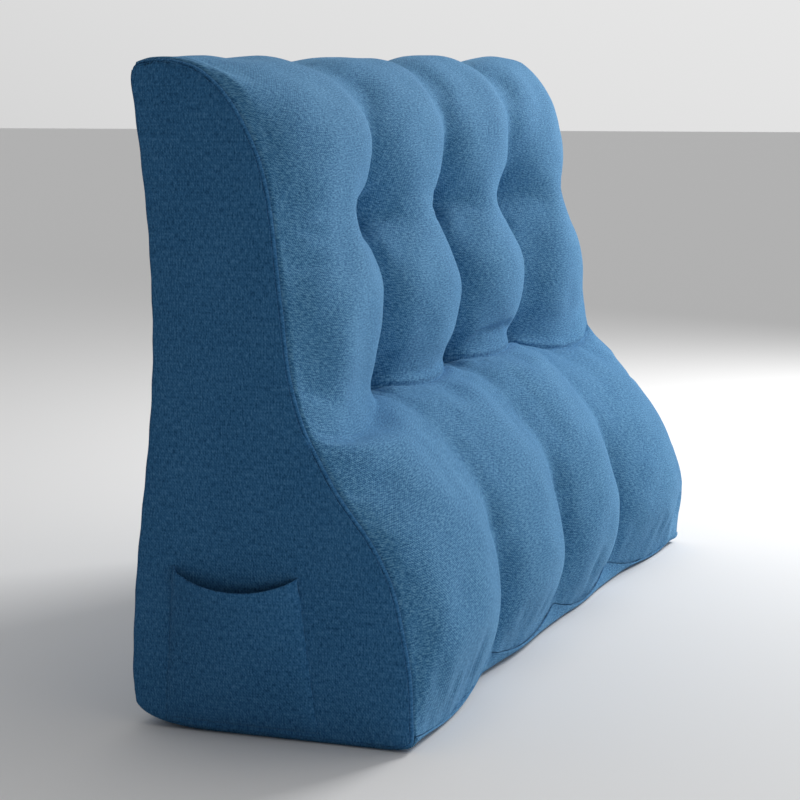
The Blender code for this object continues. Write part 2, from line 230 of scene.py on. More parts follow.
def mesh_piece(name, points, faces, material=None):
    """A smooth mesh object in the frame's axes from points on the pillow's own lines."""
    mesh = bpy.data.meshes.new(name)
    shifted = np.asarray(points, dtype=float).reshape(-1, 3) + (*FRAME_SHIFT, 0.0)
    mesh.from_pydata(shifted.tolist(), [], faces)
    mesh.update()
    mesh.shade_smooth()
    if material:
        mesh.materials.append(material)
    piece = bpy.data.objects.new(name, mesh)
    bpy.context.scene.collection.objects.link(piece)
    return piece


def grid_faces(rows, columns, wrap_rows=False):
    """Quads over a grid of points stored row by row."""
    faces = []
    for row in range(rows if wrap_rows else rows - 1):
        below = (row + 1) % rows
        for column in range(columns - 1):
            faces.append((
                row * columns + column, row * columns + column + 1,
                below * columns + column + 1, below * columns + column,
            ))
    return faces


def body_grid(stations, places):
    """The front cover's points closed below and behind, as rows across the pillow."""
    front = front_cover(stations, places)
    roll = np.clip(1 - (BODY_HALF - np.abs(places)) / EDGE_ROLL, 0, 1)
    rolled = EDGE_ROLL * (1 - np.sqrt(1 - roll**2))
    for index in np.nonzero(rolled)[0]:
        front[:, index, 1:] = offset_path(front[:, index, 1:], rolled[index])
    back = offset_path(np.array(BACK_LINE) * MM, CLOTH + GAP)
    hidden = []
    for index, x in enumerate(places):
        base = offset_path(base_path(x, front[-1, index, 1:]), CLOTH + GAP + BASE_EASE)
        ring = np.vstack([base, back])
        hidden.append(np.column_stack([np.full(len(ring), x), ring]))
    return front, np.stack(hidden, axis=1)


def close_body(name, front, hidden, material=None):
    """One closed mesh from the front rows, the hidden rows and two flat sides."""
    points = np.vstack([front, hidden])
    rows, columns = points.shape[:2]
    faces = grid_faces(rows, columns, wrap_rows=True)
    faces.append(tuple(row * columns for row in range(rows)))
    faces.append(tuple(row * columns + columns - 1 for row in reversed(range(rows))))
    piece = mesh_piece(name, points, faces, material)
    face_outward(piece)
    return piece


def face_outward(piece):
    """Turn every face of a closed mesh outward."""
    build = bmesh.new()
    build.from_mesh(piece.data)
    bmesh.ops.recalc_face_normals(build, faces=build.faces)
    build.to_mesh(piece.data)
    build.free()


BASE_EASE = 0.0005
EDGE_ROLL = 0.0028
EDGE_COLUMNS = (0.0, 0.0003, 0.0008, 0.0014, 0.0022, 0.0030)


def spread_columns(steps):
    """Places across the pillow, a little closer at the grooves and at the sides."""
    edges = (-BODY_HALF, *GROOVES, BODY_HALF)
    across = np.linspace(-1, 1, steps + 1)
    across = 0.7 * across + 0.3 * np.sin(np.pi / 2 * across)
    places = set()
    for left, right in zip(edges[:-1], edges[1:]):
        places.update(np.round(left + (right - left) * (across + 1) / 2, 6))
    for inset in EDGE_COLUMNS:
        places.update(np.round((-BODY_HALF + inset, BODY_HALF - inset), 6))
    return np.array(sorted(places))


# The filling is simulated on a coarse copy: pressure swells each lobe between the seams
# and tufts that hold it, and how far each point moved is then added to the fine cover.
SWELL_CAP = 0.006
SWELL_START = 0.003                   # the crests start this much lower, to swell back
SIM_FRAMES = 20
SIM_ROWS, SIM_COLUMNS = 5, 18
WAIST_HOLD, HOLD_ABOVE, HOLD_REACH = 0.9, 0.2, 1.3      # the waist seam keeps the cloth flat
HELD_SEAM, HELD_SIDE, HELD_GROOVE, GROOVE_WEIGHT = 0.5, 0.008, 0.004, 0.7


def column_place(places):
    """Where each x lies in its column, from -1 to 1."""
    edges = np.array((-BODY_HALF, *GROOVES, BODY_HALF))
    column = np.clip(np.searchsorted(edges, places, side="right") - 1, 0, len(COLUMNS) - 1)
    return 2 * (places - edges[column]) / (edges[column + 1] - edges[column]) - 1


def swell(stations, places):
    """How far each point of a coarse cover moves when the filling swells it."""
    front, hidden = body_grid(stations, places)
    body = close_body("filling_trial", front, hidden)
    held = body.vertex_groups.new(name="held")
    rows, columns = front.shape[:2]
    total = len(body.data.vertices)
    held.add(list(range(rows * columns, total)), 1.0, "REPLACE")
    for row, station in enumerate(stations):
        for column, x in enumerate(places):
            edge = min(station, LOWER - station) < HELD_SEAM or BODY_HALF - abs(x) < HELD_SIDE
            groove = min(abs(x - place) for place in GROOVES)
            seam = abs(station - WAIST) < 0.15 and x > GROOVES[0]
            weight = 1.0 if edge or seam else GROOVE_WEIGHT if groove < HELD_GROOVE else 0.0
            if weight:
                held.add([row * columns + column], weight, "REPLACE")
    cloth = body.modifiers.new("cloth", "CLOTH")
    settings = cloth.settings
    settings.quality = 6
    settings.mass = 0.3
    settings.tension_stiffness = settings.compression_stiffness = 12.0
    settings.shear_stiffness = 4.0
    settings.bending_stiffness = 0.8
    settings.use_pressure = True
    settings.uniform_pressure_force = 4.0
    settings.shrink_min = -0.015
    settings.vertex_group_mass = "held"
    settings.effector_weights.gravity = 0.0
    cloth.point_cache.frame_start, cloth.point_cache.frame_end = 1, SIM_FRAMES
    for number in range(1, SIM_FRAMES + 1):
        bpy.context.scene.frame_set(number)
    settled = body.evaluated_get(bpy.context.evaluated_depsgraph_get()).to_mesh()
    moved = np.zeros(total * 3)
    settled.vertices.foreach_get("co", moved)
    moved = moved.reshape(-1, 3)[: rows * columns].reshape(rows, columns, 3)
    shift = moved - front - (*FRAME_SHIFT, 0.0)
    bpy.context.scene.frame_set(1)
    bpy.data.objects.remove(body, do_unlink=True)
    length = np.linalg.norm(shift, axis=2, keepdims=True)
    shift *= np.minimum(1.0, SWELL_CAP / np.maximum(length, 1e-9))
    crest = np.zeros(shift.shape)
    crest[:, :, 1] = SWELL_START * np.cos(np.pi / 2 * column_place(places)) ** 2
    return shift + crest


def spread(coarse, coarse_rows, coarse_columns, rows, columns):
    """Read a coarse grid of vectors at the places of a finer one."""
    tall = np.zeros((len(rows), coarse.shape[1], 3))
    wide = np.zeros((len(rows), len(columns), 3))
    for axis in range(3):
        for column in range(coarse.shape[1]):
            tall[:, column, axis] = np.interp(rows, coarse_rows, coarse[:, column, axis])
        for row in range(len(rows)):
            wide[row, :, axis] = np.interp(columns, coarse_columns, tall[row, :, axis])
    return wide


def grid_normals(points):
    """Unit normals of a grid of points, pointing out of the front."""
    down = np.gradient(points, axis=0)
    across = np.gradient(points, axis=1)
    normals = np.cross(down, across)
    normals /= np.maximum(np.linalg.norm(normals, axis=2, keepdims=True), 1e-12)
    return normals


def run_lengths(points, axis):
    """Distance walked along a grid's rows or columns, from its first line."""
    steps = np.linalg.norm(np.diff(points, axis=axis), axis=2)
    start = np.zeros_like(np.take(steps, [0], axis=axis))
    return np.concatenate([start, np.cumsum(steps, axis=axis)], axis=axis)


rng = np.random.default_rng(7)
row_steps = np.arange(0, LOWER * 16 + 1) / 16
seam_steps = [WAIST + side * step for side in (-1, 1) for step in (0.025, 0.09)]
stations = np.array(sorted({*row_steps, *seam_steps, LOWER - 0.025, LOWER - 0.01}))
places = spread_columns(60)
front, hidden = body_grid(stations, places)

sim_stations = np.arange(0, LOWER * SIM_ROWS + 1) / SIM_ROWS
sim_places = spread_columns(SIM_COLUMNS)
swelling = spread(swell(sim_stations, sim_places), sim_stations, sim_places, stations, places)
calm_waist = 1 - WAIST_HOLD * bump(stations, WAIST - HOLD_ABOVE, HOLD_REACH)
front += calm_waist[:, None, None] * swelling

# The filling rounds each groove: the rows are smoothed across the pillow, most at the top
# and on the lower lobes, and hardly at all at the tufts.
ROUNDING_STATIONS = (0.0, 4.0, 7.0, 9.5, 12.0, 12.6, 13.5, 15.0, 17.0, 19.0)
ROUNDING = (0.0150, 0.0160, 0.0020, 0.0040, 0.0020, 0.0100, 0.0200, 0.0160, 0.0090, 0.0040)
SIDE_CALM = 0.030


def blur_rows(values, reach):
    """Smooth a grid of vectors from row to row, over a reach in stations."""
    weights = np.exp(-(((stations[:, None] - stations[None, :]) / reach) ** 2))
    weights *= np.gradient(stations)
    weights /= weights.sum(axis=1, keepdims=True)
    return np.einsum("ab,bcd->acd", weights, values)


def round_grooves(points):
    """Smooth each row across the pillow by the reach given for its station."""
    spacing = np.gradient(places)
    keep = np.clip((BODY_HALF - np.abs(places)) / SIDE_CALM, 0, 1)[:, None]
    for row, reach in enumerate(np.interp(stations, ROUNDING_STATIONS, ROUNDING)):
        weights = np.exp(-(((places[:, None] - places[None, :]) / reach) ** 2)) * spacing
        weights /= weights.sum(axis=1, keepdims=True)
        smooth = weights @ points[row, :, 1:]
        points[row, :, 1:] += keep * (smooth - points[row, :, 1:])


# Sewing, as moves along the surface's normal: tufts pulled in with soft folds running from
# them, a waist seam that bites in, gathers above the lower seam, and uneven filling.
TUFT_DEPTH, TUFT_REACH = 0.010, 0.016
FOLD_HEIGHT, WAIST_FOLDS = 0.0004, 0.0001
FOLD_RING, FOLD_REACH = 0.026, 0.014         # where the folds round a tuft are highest
WAIST_DEPTH, WAIST_REACH = 0.0036, 0.0022
WAIST_ROLL = (0.0012, 0.008, 0.005)          # a low roll below the seam: height, place, reach
PUCKER_HEIGHT, PUCKER_PITCH = 0.00008, 0.019
LOWER_HEIGHT, LOWER_PITCH, LOWER_REACH = 0.0004, 0.027, 0.025    # gathers at the lower seam
WAVES, WAVE_HEIGHT, WAVE_LENGTHS = 26, 0.00012, (0.035, 0.11)    # uneven filling
SOFT_WAIST, FULL_WAIST = -0.215, -0.165      # the first column's waist is only a soft dip
SHELF_STATIONS = (12.0, 12.7, 13.5, 14.5, 16.0)      # soft valleys just below the waist
SHELF, SHELF_REACH = (0.0, 0.009, 0.012, 0.008, 0.0), 0.045
FIRST_SLACK = 0.005                          # the first column is slacker in its middle
SADDLE_FILL = (0.005, 0.007, 0.008, 0.013)   # the tufts pull little on the middle of a lobe
SADDLE_REACH = 1.8                           # stations, as are the reaches of rows below
FACE_REACH, FACE_BLUR = 2.2, 0.9             # the middle of a lobe is smooth at the tufts
MIDDLE_BELOW, MIDDLE_REACH, MIDDLE_BLUR = 2.3, 1.8, 0.7      # and the middle lobes are even
LAST_HOLLOW, LAST_PLACE, LAST_REACH = 0.012, 0.195, 0.095    # the last column leans right
LAST_BELOW, LAST_ROWS, LAST_RAMP = 2, 5.0, 0.015
SLACK_PLACE, SLACK_REACH, SLACK_ROW, SLACK_ROWS = -0.25, 0.10, 10.0, 2.2
NORMAL_BLUR = 0.35

round_grooves(front)
column = np.searchsorted(GROOVES, places, side="right")
face = np.maximum(1 - column_place(places) ** 2, 0)
saddle = np.array(SADDLE_FILL)[column] * face**4
front[:, :, 1] -= bump(stations, TUFT, SADDLE_REACH)[:, None] * saddle[None, :]
calm_face = bump(stations, TUFT, FACE_REACH)[:, None] * (face**3)[None, :]
front += calm_face[:, :, None] * (blur_rows(front, FACE_BLUR) - front)
calm_middle = bump(stations, TUFT + MIDDLE_BELOW, MIDDLE_REACH)[:, None, None]
front += calm_middle * (blur_rows(front, MIDDLE_BLUR) - front)
shelf = np.interp(stations, SHELF_STATIONS, SHELF)
for groove in GROOVES:
    front[:, :, 1] -= shelf[:, None] * bump(places, groove, SHELF_REACH)[None, :]
past_groove = np.clip((places - GROOVES[2]) / LAST_RAMP, 0, 1)
hollow = LAST_HOLLOW * bump(places, LAST_PLACE, LAST_REACH) * past_groove
front[:, :, 1] += bump(stations, TUFT + LAST_BELOW, LAST_ROWS)[:, None] * hollow[None, :]
slack = FIRST_SLACK * bump(places, SLACK_PLACE, SLACK_REACH)
front[:, :, 1] += bump(stations, SLACK_ROW, SLACK_ROWS)[:, None] * slack[None, :]
normals = blur_rows(grid_normals(front), NORMAL_BLUR)
normals /= np.linalg.norm(normals, axis=2, keepdims=True)
down = run_lengths(front, 0)
across = run_lengths(front, 1) - BODY_HALF
lift = np.zeros(front.shape[:2])
waist_row = int(np.argmin(np.abs(stations - WAIST)))
tuft_row = int(np.argmin(np.abs(stations - TUFT)))
for groove in GROOVES:
    middle = int(np.argmin(np.abs(places - groove)))
    for row, folds, turn, height in ((tuft_row, 6, 0.4, FOLD_HEIGHT), (waist_row, 5, 1.1, WAIST_FOLDS)):
        side = places[None, :] - groove
        rise = down - down[row, middle]
        reach = np.hypot(side, rise)
        angle = np.arctan2(rise, side)
        lift -= TUFT_DEPTH * np.exp(-((reach / TUFT_REACH) ** 2))
        ring = np.exp(-(((reach - FOLD_RING) / FOLD_REACH) ** 2))
        lift += height * ring * np.cos(folds * angle + turn + rng.uniform(0, 1.5))
from_waist = down - down[waist_row][None, :]
bite = np.interp(places, (SOFT_WAIST, FULL_WAIST), (0.15, 1.0))[None, :]
lift -= bite * WAIST_DEPTH * np.exp(-((from_waist / WAIST_REACH) ** 2))
roll_height, roll_place, roll_reach = WAIST_ROLL
lift += bite * roll_height * np.exp(-(((from_waist - roll_place) / roll_reach) ** 2))
pucker = np.sin(across * 2 * np.pi / PUCKER_PITCH + 1.5 * np.sin(across * 41.0))
lift += bite * PUCKER_HEIGHT * pucker * np.exp(-(((np.abs(from_waist) - 0.010) / 0.008) ** 2))
from_lower = down[-1][None, :] - down
gather = np.sin(across * 2 * np.pi / LOWER_PITCH + 2.0 * np.sin(across * 29.0))
lift += LOWER_HEIGHT * gather * np.exp(-from_lower / LOWER_REACH)
for wave in range(WAVES):
    heading = rng.uniform(0, np.pi)
    length = rng.uniform(*WAVE_LENGTHS)
    phase = rng.uniform(0, 2 * np.pi)
    along = across * np.cos(heading) + down * np.sin(heading)
    lift += WAVE_HEIGHT * length / 0.05 * np.sin(2 * np.pi * along / length + phase)
calm = np.clip(np.minimum(BODY_HALF - np.abs(places)[None, :], down) / 0.01, 0, 1)
front += normals * (lift * calm)[:, :, None]


def heathered(name, shades, fleck, rows, contrast, sheen, bump_depth):
    """A plain weave of chenille yarn: uneven shades along each yarn, a soft nap and bump.

    fleck is the length and height of a fleck in metres, on the cloth's own flat map.
    rows is how strongly the weft rows show.
    contrast is how near the three shades lie to each other on the noise that picks them.
    """
    material = bpy.data.materials.new(name)
    material.use_nodes = True
    nodes, links = material.node_tree.nodes, material.node_tree.links
    shader = nodes["Principled BSDF"]
    shader.inputs["Roughness"].default_value = 0.88
    shader.inputs["Specular IOR Level"].default_value = 0.10
    shader.inputs["Sheen Weight"].default_value = sheen
    shader.inputs["Sheen Roughness"].default_value = 0.45
    shader.inputs["Sheen Tint"].default_value = (0.33, 0.63, 0.94, 1.0)
    flat = nodes.new("ShaderNodeUVMap")
    flat.uv_map = "cloth"

    def noise(scale, detail, rough):
        mapping = nodes.new("ShaderNodeMapping")
        mapping.inputs["Scale"].default_value = (*scale, 1.0)
        links.new(flat.outputs["UV"], mapping.inputs["Vector"])
        texture = nodes.new("ShaderNodeTexNoise")
        texture.inputs["Scale"].default_value = 1.0
        texture.inputs["Detail"].default_value = detail
        texture.inputs["Roughness"].default_value = rough
        links.new(mapping.outputs["Vector"], texture.inputs["Vector"])
        return texture.outputs["Fac"]

    def math_node(operation, first, second):
        node = nodes.new("ShaderNodeMath")
        node.operation = operation
        for socket, value in zip(node.inputs, (first, second)):
            if isinstance(value, (int, float)):
                socket.default_value = value
            else:
                links.new(value, socket)
        return node.outputs[0]

    parts = nodes.new("ShaderNodeSeparateXYZ")
    links.new(flat.outputs["UV"], parts.inputs[0])
    turn = math.pi / YARN_PITCH
    warp = math_node("SINE", math_node("MULTIPLY", parts.outputs["X"], turn), 0.0)
    weft = math_node("SINE", math_node("MULTIPLY", parts.outputs["Y"], turn), 0.0)
    weave = math_node("MULTIPLY", warp, weft)
    length, height = fleck
    flecks = noise((1 / length, 1 / height), 2.0, 0.6)
    crossing = noise((1 / height, 0.6 / length), 2.0, 0.6)
    nap = noise((900.0, 900.0), 2.0, 0.6)
    cloud = noise((22.0, 16.0), 2.0, 0.5)
    tone = math_node("MULTIPLY", flecks, 0.52)
    tone = math_node("ADD", tone, math_node("MULTIPLY", crossing, 0.20))
    tone = math_node("ADD", tone, math_node("MULTIPLY", nap, 0.20))
    tone = math_node("ADD", tone, math_node("MULTIPLY", cloud, 0.08))
    tone = math_node("ADD", tone, math_node("MULTIPLY", weave, 0.020))
    tone = math_node("ADD", tone, math_node("MULTIPLY", weft, rows))
    ramp = nodes.new("ShaderNodeValToRGB")
    stops = ramp.color_ramp.elements
    for index, (position, colour) in enumerate(zip((0.5 - contrast, 0.5, 0.5 + contrast), shades)):
        stop = stops[index] if index < 2 else stops.new(position)
        stop.position = position
        stop.color = (*colour, 1.0)
    links.new(tone, ramp.inputs["Fac"])
    links.new(ramp.outputs["Color"], shader.inputs["Base Color"])
    relief = math_node("ADD", math_node("MULTIPLY", weave, 0.35), math_node("MULTIPLY", flecks, 0.6))
    relief = math_node("ADD", relief, math_node("MULTIPLY", nap, 0.5))
    raised = nodes.new("ShaderNodeBump")
    raised.inputs["Strength"].default_value = 0.5
    raised.inputs["Distance"].default_value = bump_depth
    links.new(relief, raised.inputs["Height"])
    links.new(raised.outputs["Normal"], shader.inputs["Normal"])
    return material


def lay_map(piece, flat_points):
    """Give each vertex its place on the flat cloth, in metres, as a UV map."""
    layer = piece.data.uv_layers.new(name="cloth")
    corners = np.zeros(len(piece.data.loops), dtype=np.int32)
    piece.data.loops.foreach_get("vertex_index", corners)
    layer.data.foreach_set("uv", np.asarray(flat_points, dtype=np.float32)[corners].ravel())


YARN_PITCH = 0.0013
FRONT_SHADES = ((0.019, 0.100, 0.232), (0.056, 0.196, 0.378), (0.128, 0.318, 0.515))
# The side cloth's tones are the front cloth's made darker and bluer: painted shade for the parts that turn
# away from the light.
SIDE_TONES_IN_PAINTED_SHADE = ((0.016, 0.086, 0.207), (0.038, 0.158, 0.340), (0.078, 0.235, 0.455))
front_cloth = heathered("front_cloth", FRONT_SHADES, (0.0045, 0.0011), 0.008, 0.092, 0.35, 0.0006)
# side_cloth takes those tones, so it carries painted shade on the side panels, welts, pocket and back.
side_cloth = heathered("side_cloth", SIDE_TONES_IN_PAINTED_SHADE, (0.0012, 0.0045), 0.014, 0.125, 0.12, 0.0005)

cushion = close_body("quilted_body", front, hidden, front_cloth)
flat_map = np.zeros((front.shape[0] + hidden.shape[0], front.shape[1], 2))
flat_map[: len(front), :, 0] = across
flat_map[: len(front), :, 1] = -from_waist
flat_map[len(front):, :, 0] = hidden[:, :, 0]
flat_map[len(front):, :, 1] = -run_lengths(hidden, 0) - from_waist[-1]
lay_map(cushion, flat_map.reshape(-1, 2))
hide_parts("cushion")
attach(cushion, "root")

# The flat side panels
# Each is one cut of the same cloth with its grain upright, given the side cloth's darker tones as
# painted shade. The sewing draws its rim down to the body, so the middle stands a little proud
# and small gathers run in from the welt.
WELT_WIDTH, WELT_INSET = 0.0036, 0.0013
PANEL_INSET = WELT_INSET + WELT_WIDTH - 0.0012     # its edge is tucked under the welt
PANEL_FACE = BODY_HALF + GAP + CLOTH
TOP_CORNER = ((107.5, 480.0), (107.5, 493.0), (91.0, 493.0))
PANEL_SWELL, RIM_REACH, RIM_START = 0.0022, 0.010, 0.0005
GATHER_HEIGHT, GATHER_PITCH, GATHER_REACH = 0.00045, 0.017, 0.014
DRIFT_HEIGHT = 0.0004                  # slow unevenness over the whole panel
RIM_STEP = 0.003
PANEL_ROWS, PANEL_COLUMNS = 150, 72


def side_outline(side):
    """The closed outline of a side, over the top, down the front and along the floor."""
    fine = np.arange(8, LOWER * 8 + 1) / 8
    x = side * BODY_HALF
    seam_line = front_cover(fine, np.array([x]))[:, 0, 1:]
    back = follow(BACK_LINE, np.arange(0, (len(BACK_LINE) - 2) * 5 + 1) / 5) * MM
    return np.vstack([
        seam_line,
        base_path(x, seam_line[-1], 14)[1:],
        back,
        corner_curve(*TOP_CORNER, 8)[:-1] * MM,
    ])


def walked_along(path):
    """The distance walked along a path to each of its points."""
    return np.concatenate([[0.0], np.cumsum(np.linalg.norm(np.diff(path, axis=0), axis=1))])


def read_path(path, walked, at):
    """The points of a path at the distances given."""
    return np.column_stack([np.interp(at, walked, path[:, axis]) for axis in range(path.shape[1])])


def resample(path, step):
    """Even steps round a closed path, with the distance walked to each point."""
    closed = np.vstack([path, path[:1]])
    walked = walked_along(closed)
    count = int(round(walked[-1] / step))
    at = np.arange(count) * walked[-1] / count
    return read_path(closed, walked, at), at


def rim_lift(points, outline, walked):
    """How far a side panel stands off its flat form: a swell, less the draw of its rim."""
    gap = points[:, None, :] - outline[None, :, :]
    distance = np.sqrt((gap**2).sum(axis=2))
    nearest = distance.argmin(axis=1)
    inset = distance[np.arange(len(points)), nearest]
    place = walked[nearest]
    rise = RIM_START + PANEL_SWELL * (1 - np.exp(-inset / RIM_REACH))
    wave = np.sin(2 * np.pi * place / GATHER_PITCH + 2.2 * np.sin(place * 23.0))
    drift = np.sin(points[:, 1] * 21.0 + 1.0) * np.sin(points[:, 0] * 33.0)
    return rise + GATHER_HEIGHT * wave * np.exp(-inset / GATHER_REACH) + DRIFT_HEIGHT * drift


def sheet_piece(name, points, thickness, material, flat):
    """A grid of points given its thickness, with its map on the flat cloth."""
    rows, columns = points.shape[:2]
    sheet = mesh_piece(name, points, grid_faces(rows, columns), material)
    lay_map(sheet, flat.reshape(-1, 2))
    solid = sheet.modifiers.new("cloth thickness", "SOLIDIFY")
    solid.thickness = thickness
    solid.offset = -1.0
    plain = bpy.data.meshes.new_from_object(sheet.evaluated_get(bpy.context.evaluated_depsgraph_get()))
    sheet.modifiers.clear()
    sheet.data = plain
    return sheet


outlines = {}
for word, side in (("left", -1), ("right", 1)):
    outline, walked = resample(side_outline(side), RIM_STEP)
    outlines[word] = (outline, walked)
    rim = offset_path(outline, PANEL_INSET, closed=True)
    top, bottom = rim[:, 1].argmax(), rim[:, 1].argmin()
    turned = np.roll(rim, -top, axis=0)
    split = (bottom - top) % len(rim)
    fore, aft = turned[: split + 1][::-1], np.vstack([turned[split:], turned[:1]])
    low, high = rim[:, 1].min(), rim[:, 1].max()
    heights = low + (high - low) * (1 - np.cos(np.linspace(0.04, np.pi - 0.04, PANEL_ROWS))) / 2
    shares = (1 - np.cos(np.linspace(0.0, np.pi, PANEL_COLUMNS))) / 2
    heights = 0.5 * heights + 0.5 * np.linspace(heights[0], heights[-1], len(heights))
    panel = np.zeros((len(heights), len(shares), 3))
    for row, height in enumerate(heights):
        start = np.interp(height, fore[:, 1], fore[:, 0])
        end = np.interp(height, aft[:, 1], aft[:, 0])
        panel[row, :, 1] = start + (end - start) * shares
        panel[row, :, 2] = height
    flat = panel[:, :, 1:].reshape(-1, 2)
    panel[:, :, 0] = side * (PANEL_FACE + rim_lift(flat, outline, walked).reshape(panel.shape[:2]))
    if side > 0:
        panel, flat = panel[:, ::-1], panel[:, ::-1, 1:].reshape(-1, 2)
    cloth = sheet_piece(f"side_cloth_{word}", panel, CLOTH, side_cloth, flat)
    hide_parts(f"side_panel_{word}")
    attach(cloth, "root")

# The welts
# A narrow sleeve of the side cloth, with its painted shade, folded over a cord and caught in the
# seam all round each side panel. The stitches nip it every few millimetres, so it looks like soft rope.
WELT_STEP = 0.0011
NIP_PITCH, NIP_DEPTH = 0.0042, 0.00022
WELT_SECTION = 10
WELT_DRIFT = 0.00015
WELT_PINCH, WELT_FULLNESS = 0.06, 0.75


def make_welt(word, side):
    """One welt, as a half-round ridge swept round its side's outline."""
    path, walked = resample(side_outline(side), WELT_STEP)
    half = WELT_WIDTH / 2
    foot, top = BODY_HALF + GAP, WIDTH / 2
    nip = 0.5 - 0.5 * np.cos(2 * np.pi * walked / NIP_PITCH + 0.9 * np.sin(walked * 47.0))
    drift = 0.5 * np.sin(walked * 61.0) + 0.5 * np.sin(walked * 23.0 + 1.0)
    height = top - foot - NIP_DEPTH * (1 - nip) - WELT_DRIFT * (1 + drift)
    lines, flat = [], []
    for step in range(WELT_SECTION + 1):
        angle = np.pi * step / WELT_SECTION
        shift = WELT_INSET + half - half * np.cos(angle) * (1 - WELT_PINCH * (1 - nip))
        line = offset_path(path, shift, closed=True)
        rise = foot + height * np.sin(angle) ** WELT_FULLNESS
        lines.append(np.column_stack([side * rise, line]))
        flat.append(np.column_stack([walked, np.full(len(path), half * angle)]))
    foot_line = offset_path(path, WELT_INSET + half, closed=True)
    lines.append(np.column_stack([np.full(len(path), side * foot), foot_line]))
    flat.append(np.column_stack([walked, np.full(len(path), -half)]))
    points, flat = np.stack(lines), np.stack(flat)
    rows, columns = points.shape[:2]
    faces = [
        (row * columns + column, row * columns + (column + 1) % columns,
         (row + 1) % rows * columns + (column + 1) % columns, (row + 1) % rows * columns + column)
        for row in range(rows) for column in range(columns)
    ]
    welt = mesh_piece(f"welt_sleeve_{word}", points, faces, side_cloth)
    lay_map(welt, flat.reshape(-1, 2))
    face_outward(welt)
    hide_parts(f"welt_{word}")
    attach(welt, "root")


for word, side in (("left", -1), ("right", 1)):
    make_welt(word, side)

# The side pocket
# A patch of the side cloth, with its painted shade, sewn to the left panel along three edges. Its
# hemmed mouth is open at the top and sags in the middle, with a small fold at each end of it.
POCKET_BACK_TOP, POCKET_FRONT_TOP = (77.0, 124.0), (-22.0, 122.0)
POCKET_BACK_BOTTOM, POCKET_FRONT_BOTTOM = (84.0, 9.0), (-37.0, 7.5)
POCKET_SAG, POCKET_BOW = 0.013, 0.012
POCKET_HEM, POCKET_HEM_DEPTH, HEM_RAMP = 0.0008, 0.09, 0.012
POCKET_SIZE = 0.11                     # about how far its shares of width and height reach
DRAW_HEIGHT, DRAW_PITCH, DRAW_REACH = 0.0006, 0.019, 0.008    # small gathers at its seams
POCKET_PUFF, PUFF_REACH = 0.0009, 0.005
MOUTH_FOLD, FOLD_AT, FOLD_WIDE = 0.0011, 0.05, 0.03      # at each end of the mouth
POCKET_MAP_RISE = 0.31                 # its cloth is cut from another part of the weave
left_outline, left_walked = outlines["left"]


def pocket_points(across, up):
    """Points of the pocket: across runs from its back edge, up from its bottom seam."""
    corners = [np.array(corner) * MM for corner in (
        POCKET_BACK_BOTTOM, POCKET_FRONT_BOTTOM, POCKET_BACK_TOP, POCKET_FRONT_TOP)]
    across, up = across[..., None], up[..., None]
    bottom = corners[0] * (1 - across) + corners[1] * across
    top = corners[2] * (1 - across) + corners[3] * across
    place = bottom * (1 - up) + top * up
    across, up = across[..., 0], up[..., 0]
    swell_share = 4 * across * (1 - across)
    place[..., 1] -= POCKET_SAG * up * swell_share**0.8
    bow = POCKET_BOW * swell_share**0.6 * up**0.7
    aside = np.minimum(across, 1 - across)
    edge = np.minimum(aside * POCKET_SIZE, up * POCKET_SIZE)
    height = place[..., 1]
    draw = DRAW_HEIGHT * np.sin(2 * np.pi * height / DRAW_PITCH + 2.0 * np.sin(height * 70))
    puff = POCKET_PUFF * (1 - np.exp(-edge / PUFF_REACH))
    bow = bow + puff + draw * np.exp(-edge / DRAW_REACH) * (edge > 0)
    bow += MOUTH_FOLD * np.exp(-((aside - FOLD_AT) / FOLD_WIDE) ** 2) * up**6
    bow += POCKET_HEM * np.clip((up - 1 + POCKET_HEM_DEPTH) / HEM_RAMP, 0, 1)
    under = rim_lift(place.reshape(-1, 2), left_outline, left_walked).reshape(place.shape[:-1])
    depth = -(PANEL_FACE + GAP + CLOTH + under + bow)
    return np.dstack([depth, place[..., 0], place[..., 1]])


pocket_across = (1 - np.cos(np.linspace(0, np.pi, 61))) / 2
pocket_up = np.concatenate([np.linspace(0, 0.9, 46), np.linspace(0.905, 1.0, 14)])
share_across, share_up = np.meshgrid(pocket_across, pocket_up)
pocket_grid = pocket_points(share_across, share_up)
pocket_flat = np.dstack([pocket_grid[..., 1], pocket_grid[..., 2] + POCKET_MAP_RISE])
pocket = sheet_piece("pocket_patch", pocket_grid, CLOTH, side_cloth, pocket_flat)
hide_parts("pocket_left")
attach(pocket, "root")

# The base and back panels
# The base lies on the floor and turns up in front as a plain strip under the lobes; its
# top edge follows the scalloped seam. The back is one flat cut, sewn in along its edges, in the
# side cloth with its painted shade.
BASE_COLUMNS, BACK_ROWS = 160, 90
STRIP_ROWS, UNDER_ROWS = 22, 60
BASE_STEPS = 12                        # steps in each round corner of the base
BACK_SWELL, BACK_REACH = 0.0030, 0.020
PULL_HEIGHT, PULL_PITCH, PULL_REACH = 0.00025, 0.031, 0.015      # small gathers along its seams


def trimmed(path, distance):
    """A path with a little cut off each end, so that neighbours do not touch."""
    walked = walked_along(path)
    return read_path(path, walked, np.clip(walked, distance, walked[-1] - distance))


def even_path(path, count):
    """A path in even steps from end to end."""
    walked = walked_along(path)
    return read_path(path, walked, np.linspace(0, walked[-1], count))


